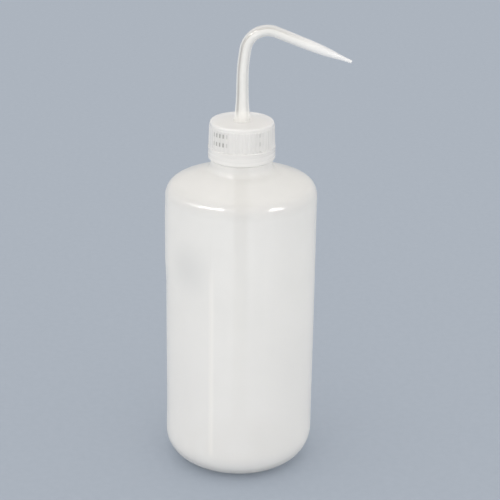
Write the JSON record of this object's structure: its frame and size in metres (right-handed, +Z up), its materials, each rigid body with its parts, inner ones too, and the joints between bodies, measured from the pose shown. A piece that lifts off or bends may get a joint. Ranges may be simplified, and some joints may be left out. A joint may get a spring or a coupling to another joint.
{
  "type": "wash bottle",
  "caption": "Laboratory wash bottle: round translucent squeeze bottle with ribbed screw cap, bent tapered spout and straight draw tube.",
  "frame": {"origin": "centre of the bottle's resting face, on the bottle's axis", "axes": "+Z up along the bottle's axis, +X the way the spout points at rest"},
  "size_m": [0.0874, 0.073, 0.2217],
  "materials": {
    "bottle_plastic": "natural milky low-density polythene, satin, translucent",
    "cap_plastic": "natural polypropylene, semi-gloss, translucent, threads showing through",
    "spout_plastic": "natural polythene, smooth, whiter towards the drawn tip",
    "tube_plastic": "natural polythene tube, satin"
  },
  "bodies": {
    "bottle": {"bottle": "bottle_plastic"},
    "draw_tube": {"draw_tube": "tube_plastic"},
    "cap": {"screw_cap": "cap_plastic"},
    "spout": {"bent_spout": "spout_plastic"}
  },
  "joints": [
    {"name": "cap_lift", "type": "slide", "parent": "bottle", "child": "draw_tube", "axis": [0, 0, 1], "range_m": [0, 0.0106]},
    {"name": "cap_turn", "type": "hinge", "parent": "draw_tube", "child": "cap", "pos_m": [0, 0, 0.166], "axis": [0, 0, 1], "range_deg": [0, 900]},
    {"name": "spout_swivel", "type": "hinge", "parent": "draw_tube", "child": "spout", "pos_m": [0, 0, 0.172], "axis": [0, 0, 1], "continuous": true}
  ],
  "couplings": [
    {"joint": "cap_lift", "follows": "cap_turn", "m_per_rad": 0.00067376}
  ]
}
